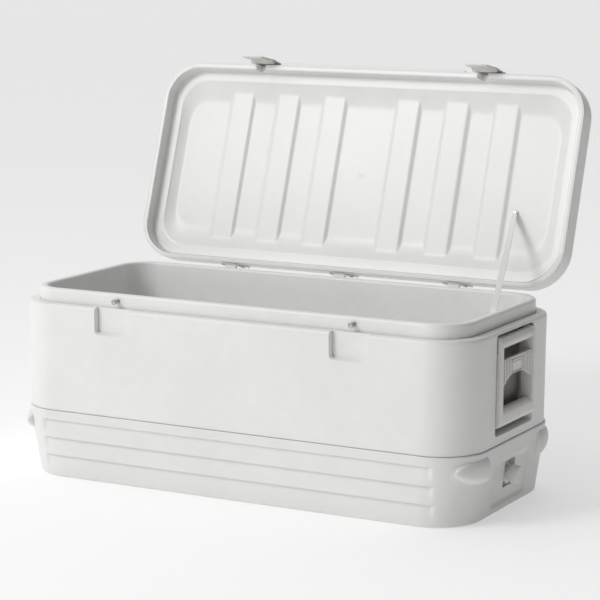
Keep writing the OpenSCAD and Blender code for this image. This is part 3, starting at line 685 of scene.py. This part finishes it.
for place in ("left", "middle", "right"):
    dress_nodes(shell_plastic, "fitting_plastic", f"hinge_{place}_body_leaf", f"hinge_{place}_lid_leaf")
    dress_nodes(steel, "steel", f"hinge_{place}_pin")
dress_nodes(steel, "steel", "hinge_body_screws", "hinge_lid_screws")

# ---- Latches ----
# Each latch is a tapered plastic lever on a steel pin through a bracket on the lid's skirt. A
# hook across its back snaps under a headed steel stud on the collar. The free end has a bead
# for the fingers.
pin_low, pin_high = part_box("latch_right_pin")
latch_axis = opened.inverted() @ ((pin_low + pin_high) / 2 / MM)
latch_axis.x = 0
hook_reach, hook_top = 4.6, -25.3
side_view = [
    (-4.9, 0), (-4.2, 3), (0, 4.9), (3.6, 3.4), (4.9, 0), (3, -4), (-1.3, -7.5),
    (-1.6, hook_top + 1.6), (hook_reach - 1, hook_top + 0.1), (hook_reach, hook_top - 0.6),
    (hook_reach, hook_top - 3), (-1.2, hook_top - 7), (-0.6, hook_top - 11),
    (4.5, -70), (4.3, -74), (1.7, -74), (-3.8, hook_top - 11), (-4.9, hook_top - 4),
]
lever_half, lever_taper, taper_start, taper_end = 28, 5, 10, 74


def lever():
    """The side outline carried across the width, narrowing towards the free end."""
    rings = []
    for across in (-1, -0.96, -0.5, 0, 0.5, 0.96, 1):
        ring = []
        for y, z in side_view:
            down = min(max((-z - taper_start) / (taper_end - taper_start), 0), 1)
            wide = lever_half - lever_taper * down
            thinned = 0.084 if abs(across) == 1 else 0
            lifted = 0.42 if abs(across) == 1 and z < -60 else 0
            ring.append(latch_axis + Vector((across * wide, y * (1 - thinned), z + lifted)))
        rings.append(ring)
    return loft(rings)


def bead(z, y, half_width, radius):
    end, shoulder = half_width, half_width - 1
    profile = [(-end, radius * 0.4), (-shoulder, radius), (shoulder, radius), (end, radius * 0.4)]
    centre = (latch_axis.y + y, latch_axis.z + z)
    return loft(round_rings(profile, "x", centre, steps=16))


def softened(made, width, segments=3, angle=35):
    change = made.modifiers.new("edges", "BEVEL")
    change.width, change.segments = width * MM, segments
    change.limit_method, change.angle_limit = "ANGLE", math.radians(angle)
    return settle(made, angle)


# The latch levers and brackets are white plastic. Their warmer, darker tone here is painted shade for the
# shadowed, brownish look of the latches.
latch_painted_shade_plastic = moulded_plastic(
    "latch_painted_shade_plastic", (0.76, 0.74, 0.715), (0.70, 0.68, 0.65), 0.40, grain=0.18, edge=0.8
)
beads = (bead(-66, 0.7, 19, 1.3), bead(-60.5, -0.1, 19.5, 1.1), bead(-12, -4.2, 24, 1.2))
lever_part = merged(lever(), *beads)
for side, place in (("left", -1), ("right", 1)):
    turned = moved(lever_part, opened @ Matrix.Translation((place * hinge_spacing, 0, 0)))
    latch = softened(piece(f"latch_{side}_lever", turned), 0.7, 2)
    dress(latch, latch_painted_shade_plastic, "fitting_plastic", f"latch_{side}_arm", f"latch_{side}")
    dress_nodes(latch_painted_shade_plastic, "fitting_plastic", f"latch_{side}_bracket")
    dress_nodes(steel, "steel", f"latch_{side}_pin")
dress_nodes(steel, "steel", "latch_bracket_screws")

# ---- Keeper studs ----
# A turned stainless stud stands out of the collar under each latch. Its broad head has a
# rolled edge and a dished face, and a shoulder seats it against the plastic.
stem, shoulder, neck = 2, 5.2, 3.5
for side in ("left", "right"):
    stud_low, stud_high = (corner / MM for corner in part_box(f"keeper_stud_{side}"))
    middle = (stud_low + stud_high) / 2
    head = (stud_high.z - stud_low.z) / 2
    face, wall, root = stud_low.y, -collar_depth, stud_high.y
    profile = [
        (root, 0.4), (root - 1, stem), (wall + 1, stem), (wall - 0.2, shoulder), (wall - 1.4, shoulder),
        (wall - 1.8, neck), (face + 3, neck), (face + 2.9, head - 0.4), (face + 2.3, head),
        (face + 1.2, head), (face + 0.4, head - 0.5), (face, head - 1.5), (face + 0.1, head - 2.4),
        (face + 0.7, head - 3.2), (face + 0.9, 0.3),
    ]
    turned = loft(round_rings(profile, "y", (middle.x, middle.z), 40))
    stud = settle(piece(f"keeper_stud_{side}_turned", turned))
    dress(stud, steel, "steel", "cooler_body", f"keeper_stud_{side}")

# ---- Handles ----
# Each end has a swing-up bail of moulded plastic: two broad rails, a round bar that carries
# the pins, a thick grip, and a ribbed cross panel with a blank bordered plaque.
handle_half = (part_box("handle_right")[1] / MM).y
barrel_x, barrel_z, grip_z = 472, 316, 180
rail_radius, rail_width, rail_foot, barrel_radius = 13, 11, grip_z - 3, 11
rail_edge = [(0, 2.6), (0.5, 1.2), (1.6, 0.3), (3, 0)]
arc_steps = 24
handle_plastic = moulded_plastic(
    "handle_plastic", (0.80, 0.79, 0.77), (0.72, 0.71, 0.685), 0.36, grain=0.2, edge=1.4
)


def rail():
    """One side of the bail: a flat bar with round ends and rounded edges."""
    rings = []
    for y, inset in rail_edge + [(rail_width - y, inset) for y, inset in reversed(rail_edge)]:
        radius = rail_radius - inset
        flat = []
        for end_z, start in ((barrel_z, 0), (rail_foot, 180)):
            for step in range(arc_steps + 1):
                turn = math.radians(start + 180 * step / arc_steps)
                flat.append((barrel_x + radius * math.cos(turn), end_z + radius * math.sin(turn)))
        rings.append(standing(flat, "y", handle_half - y))
    return loft(rings)


def bar(centre_z, radius, stretch, reach):
    flat = []
    for step in range(48):
        turn = 2 * math.pi * step / 48
        rise = stretch if math.sin(turn) > 0 else -stretch
        flat.append((barrel_x + radius * math.cos(turn), centre_z + radius * math.sin(turn) + rise))
    return loft([standing(flat, "y", -reach), standing(flat, "y", reach)])


def block(low, high, radius, axis):
    """A block whose four edges along one axis are rounded."""
    low, high = Vector(low), Vector(high)
    along = "xyz".index(axis)
    first, second = (index for index in range(3) if index != along)
    ends = ((low, low), (high, low), (high, high), (low, high))
    flat = fillet([(across[first], up[second]) for across, up in ends], radius, steps=4)
    return loft([standing(flat, axis, low[along]), standing(flat, axis, high[along])])


panel_face = barrel_x + rail_radius - 4
panel_top, panel_foot = barrel_z - 30, barrel_z - 78
panel_reach = handle_half - 4
arch_half, arch_rise = 62, 20
rib_inner, rib_pitch, rib_half, rib_proud, rib_gap = 34, 12, 2.2, 3.4, 3
plaque_half, plaque_foot, plaque_head = 24, panel_top - 30, panel_top - 5
border, border_proud, blank_proud = 2, 2, 0.9


def arch_height(y):
    """The panel's lower edge, which arches up over the hand."""
    return panel_foot + arch_rise * (1 - min(abs(y) / arch_half, 1) ** 2)


arch = [(-panel_reach, panel_foot)]
for step in range(arc_steps + 1):
    y = arch_half * (2 * step / arc_steps - 1)
    arch.append((y, arch_height(y)))
arch += [(panel_reach, panel_foot), (panel_reach, panel_top), (-panel_reach, panel_top)]
panel = loft([standing(arch, "x", x) for x in (panel_face - 6, panel_face)])
trim = []
for side in (-1, 1):
    for step in range(3):
        y = side * (rib_inner + step * rib_pitch)
        rib_low = (panel_face - 1, y - rib_half, arch_height(y) + rib_gap)
        rib_high = (panel_face + rib_proud, y + rib_half, panel_top - rib_gap)
        trim.append(block(rib_low, rib_high, 1.6, "z"))
strips = (
    ((-plaque_half, plaque_foot), (plaque_half, plaque_foot + border), "y"),
    ((-plaque_half, plaque_head - border), (plaque_half, plaque_head), "y"),
    ((-plaque_half, plaque_foot), (-plaque_half + border, plaque_head), "z"),
    ((plaque_half - border, plaque_foot), (plaque_half, plaque_head), "z"),
)
for low, high, axis in strips:
    trim.append(block((panel_face - 1, *low), (panel_face + border_proud, *high), 0.8, axis))
blank_low = (panel_face - 1, 5 - plaque_half, plaque_foot + 5)
blank_high = (panel_face + blank_proud, plaque_half - 5, plaque_head - 5)
trim.append(block(blank_low, blank_high, 0.6, "z"))
right_rail = rail()
bail = merged(
    right_rail, mirrored(right_rail, "y"),
    bar(barrel_z, barrel_radius, 0, handle_half - 2), bar(grip_z, rail_radius - 1, 5, handle_half - 2),
    panel, *trim,
)
# The handle mounts are coloured dark grey-brown as painted shade: the tone stands for the shadow deep in each
# end pocket.
painted_shade_mount_plastic = moulded_plastic(
    "pocket_painted_shade", (0.34, 0.315, 0.29), (0.27, 0.25, 0.225), 0.48, grain=0.2, edge=1.0
)
for side in ("left", "right"):
    part = bail if side == "right" else mirrored(bail, "x")
    made = settle(piece(f"handle_{side}_bail", part))
    dress(made, handle_plastic, "handle_plastic", f"handle_{side}_bail", f"handle_{side}")
    dress_nodes(painted_shade_mount_plastic, "handle_plastic", f"handle_{side}_mount")
    dress_nodes(steel, "steel", f"handle_{side}_pins")
dress_nodes(steel, "steel", "handle_mount_screws")

# ---- Drain ----
# A threaded spout runs through the end wall and is drawn up on a rubber gasket by a nut. The
# cap is a knurled plastic cup with a domed face, and a washer inside it seals on the spout.
def black_rubber(name):
    finish = Finish(name)
    place = finish.node("TexCoord", output=3)
    bloom = finish.node("TexNoise", None, {"Vector": place, "Scale": 160.0, "Detail": 4.0})
    colour = finish.mixed(bloom, (0.02, 0.02, 0.02), (0.07, 0.07, 0.068))
    bump = finish.node("Bump", None, {"Strength": 0.3, "Distance": 0.0002, "Height": bloom})
    return finish.surface(Base_Color=colour, Roughness=bloom * 0.3 + 0.55, Normal=bump)


rubber = black_rubber("seal_rubber")
dress_nodes(rubber, "seal_rubber", "drain_gasket", "drain_cap_washer")
dress_nodes(fitting_plastic, "fitting_plastic", "drain_spout", "drain_nut")
cap_start, cap_end = drain_low.x, drain_high.x
cap_radius = (drain_high.y - drain_low.y) / 2
teeth, tooth_steps = 36, 6


def knurled_ring(along, radius, depth):
    """One ring of the cap, with finger ridges of a given depth."""
    flat = []
    for step in range(teeth * tooth_steps):
        turn = 2 * math.pi * step / (teeth * tooth_steps)
        wave = 0.5 + 0.5 * math.cos(turn * teeth)
        reach = radius - depth * (1 - wave ** 0.6)
        flat.append((reach * math.cos(turn), drain_z + reach * math.sin(turn)))
    return standing(flat, "x", along)


cap_profile = [
    (cap_end - 5, 12.9, 0), (cap_start + 0.6, 13.1, 0), (cap_start, 14, 0),
    (cap_start, cap_radius - 1.2, 0), (cap_start + 0.6, cap_radius - 0.3, 0.8),
    (cap_start + 1.4, cap_radius, 1.1), (cap_end - 3.4, cap_radius, 1.1),
    (cap_end - 2.4, cap_radius - 0.5, 0.6), (cap_end - 1.5, cap_radius - 1.6, 0),
    (cap_end - 0.8, cap_radius - 3, 0), (cap_end - 0.4, cap_radius - 5, 0),
    (cap_end - 0.6, cap_radius - 6.5, 0), (cap_end - 0.1, 4, 0),
]
cap = settle(piece("drain_cap_knurled", loft([knurled_ring(*ring) for ring in cap_profile])))
dress(cap, fitting_plastic, "fitting_plastic", "drain_cap_turning", "drain_cap")

# ---- Foam and filling plugs ----
# The walls are filled with poured foam through holes low in the front, which are closed
# with flush round plugs. The foam is hidden once the skins are on.
def poured_foam(name):
    finish = Finish(name)
    place = finish.node("TexCoord", output=3)
    cells = finish.node("TexVoronoi", None, {"Vector": place, "Scale": 320.0})
    colour = finish.mixed(cells, (0.74, 0.64, 0.38), (0.84, 0.76, 0.52))
    bump = finish.node("Bump", None, {"Strength": 0.6, "Distance": 0.001, "Height": cells})
    return finish.surface(Base_Color=colour, Roughness=cells * 0.1 + 0.8, Normal=bump)


dress_nodes(poured_foam("poured_foam"), "foam", "body_foam", "lid_foam")
plug_low, plug_high = (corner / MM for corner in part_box("foam_fill_plugs"))
plug_z = (plug_low.z + plug_high.z) / 2
plug_hole = 7
plug_face = -pan_depth + pan_draft * (pan_top - plug_z) / (pan_top - foot_round) + board_depth(plug_z)
plug_profile = [(3, 6.6), (0.3, 6.6), (-0.2, 6.2), (-0.3, 5), (0.5, 4.4), (0.6, 0.6)]
profile = [(plug_face + inwards, radius) for inwards, radius in plug_profile]
plug_parts = [
    loft(round_rings(profile, "y", (x, plug_z), 32))
    for x in (plug_low.x + plug_hole, plug_high.x - plug_hole)
]
plugs = settle(piece("filling_plugs", merged(*plug_parts)))
dress(plugs, base_plastic, "base_plastic", "cooler_body", "foam_fill_plugs")

# ---- Stay strap ----
# A flat flexible strap stops the lid just past upright. It is screwed through a small boss
# at each end, one in the lid's recess and one on the tub's end wall.
dress_nodes(fitting_plastic, "fitting_plastic", "strap_lid_anchor", "strap_tub_anchor")
dress_nodes(steel, "steel", "strap_lid_screw", "strap_tub_screw")
tub_end = sum(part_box("strap_tub_anchor"), Vector()) / 2 / MM + Vector((-3.2, 0, 0))
lid_end = sum(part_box("strap_lid_anchor"), Vector()) / 2 / MM
lid_out = opened.to_3x3() @ Vector((0, 0, -1))
lid_end += lid_out * 3
strap_half, strap_thick, strap_sag, strap_steps = 6, 0.7, Vector((0, 0, -5)), 48
section = [(-1, -0.6), (-0.97, -1), (0.97, -1), (1, -0.6), (1, 0.6), (0.97, 1), (-0.97, 1), (-1, 0.6)]
tub_face, middle_face = Vector((-1, -0.4, 0)), Vector((0.25, -1, 0.2)).normalized()
along = (lid_end - tub_end).normalized()
rings = []
for step in range(strap_steps + 1):
    part = step / strap_steps
    centre = tub_end.lerp(lid_end, part) + strap_sag * math.sin(math.pi * part)
    face = tub_face.lerp(middle_face, eased(part, 0.02, 0.22))
    face = face.lerp(lid_out, eased(part, 0.6, 1)).normalized()
    across = along.cross(face).normalized()
    face = across.cross(along)
    wide = strap_half * (0.55 + 0.45 * eased(min(part, 1 - part), 0, 0.03))
    rings.append([centre + across * (u * wide) + face * (v * strap_thick) for u, v in section])
strap_plastic = moulded_plastic(
    "strap_plastic", (0.84, 0.84, 0.83), (0.80, 0.80, 0.785), 0.36, grain=0.1, edge=0.3
)
strap = settle(piece("stay_strap_band", loft(rings)), 50)
dress(strap, strap_plastic, "strap_plastic", None, "stay_strap")
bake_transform(strap)

# ---- Floor, light and camera ----
# A pale floor that runs out of sight and glows faintly, so that its far edge melts into the
# backdrop. One broad soft key light stands high at the front left, and the surround is bright
# on that side and fades towards the drain end.
floor_half, floor_pale, floor_glow = 30, 0.68, 0.38
floor_corners = [(x * floor_half, y * floor_half, 0) for x, y in ((-1, -1), (1, -1), (1, 1), (-1, 1))]
floor_mesh = bpy.data.meshes.new("floor")
floor_mesh.from_pydata(floor_corners, [], [(0, 1, 2, 3)])
floor = bpy.data.objects.new("floor", floor_mesh)
bpy.context.scene.collection.objects.link(floor)
floor_finish = Finish("studio_floor")
place = floor_finish.node("TexCoord", output=3)
spread = floor_finish.node("TexNoise", None, {"Vector": place, "Scale": 0.8})
floor_finish.surface(
    Base_Color=floor_finish.mixed(spread, (floor_pale - 0.02,) * 3, (floor_pale,) * 3),
    Roughness=spread * 0.1 + 0.8,
    Emission_Color=(1, 1, 1, 1),
    Emission_Strength=floor_glow,
)
floor_mesh.materials.append(floor_finish.material)

world = bpy.data.worlds.new("studio")
bpy.context.scene.world = world
world.use_nodes = True
sky = world.node_tree
heading = sky.nodes.new("ShaderNodeTexCoord")
sides = sky.nodes.new("ShaderNodeSeparateXYZ")
fade = sky.nodes.new("ShaderNodeMapRange")
fade.interpolation_type = "SMOOTHSTEP"
surround = {"From Min": -0.1, "From Max": 0.62, "To Min": 0.84, "To Max": 0.05}
for name, value in surround.items():
    fade.inputs[name].default_value = value
sky.links.new(heading.outputs["Generated"], sides.inputs[0])
sky.links.new(sides.outputs["X"], fade.inputs["Value"])
sky.links.new(fade.outputs[0], sky.nodes["Background"].inputs["Color"])

key_place, key_aim = Vector((-1.9, -3.0, 3.0)), Vector((0, 0, 0.3))
key_size, key_power = 1.5, 62
key_lamp = bpy.data.lights.new("key", "AREA")
key_lamp.shape, key_lamp.size, key_lamp.energy = "SQUARE", key_size, key_power
key_light = bpy.data.objects.new("key", key_lamp)
key_light.location = key_place
key_light.rotation_euler = (key_aim - key_place).to_track_quat("-Z", "Y").to_euler()
bpy.context.scene.collection.objects.link(key_light)
bpy.context.scene.view_settings.view_transform = "Standard"

camera_data = bpy.data.cameras.new("camera")
camera = bpy.data.objects.new("camera", camera_data)
bpy.context.scene.collection.objects.link(camera)
camera_place = Vector((2.0577, -3.7370, 1.0731))
yaw, pitch, roll = math.radians(28.43), math.radians(-9.66), math.radians(0.11)
camera_data.sensor_width, camera_data.lens = 36, 136.59
camera_data.clip_start, camera_data.clip_end = 0.1, 100
forward = Vector((-math.sin(yaw) * math.cos(pitch), math.cos(yaw) * math.cos(pitch), math.sin(pitch)))
level_right = Vector((math.cos(yaw), math.sin(yaw), 0))
level_up = level_right.cross(forward)
right = level_right * math.cos(roll) + level_up * math.sin(roll)
up = level_up * math.cos(roll) - level_right * math.sin(roll)
axes = Matrix((right, up, -forward)).transposed().to_4x4()
camera.matrix_world = Matrix.Translation(camera_place) @ axes
bpy.context.scene.camera = camera
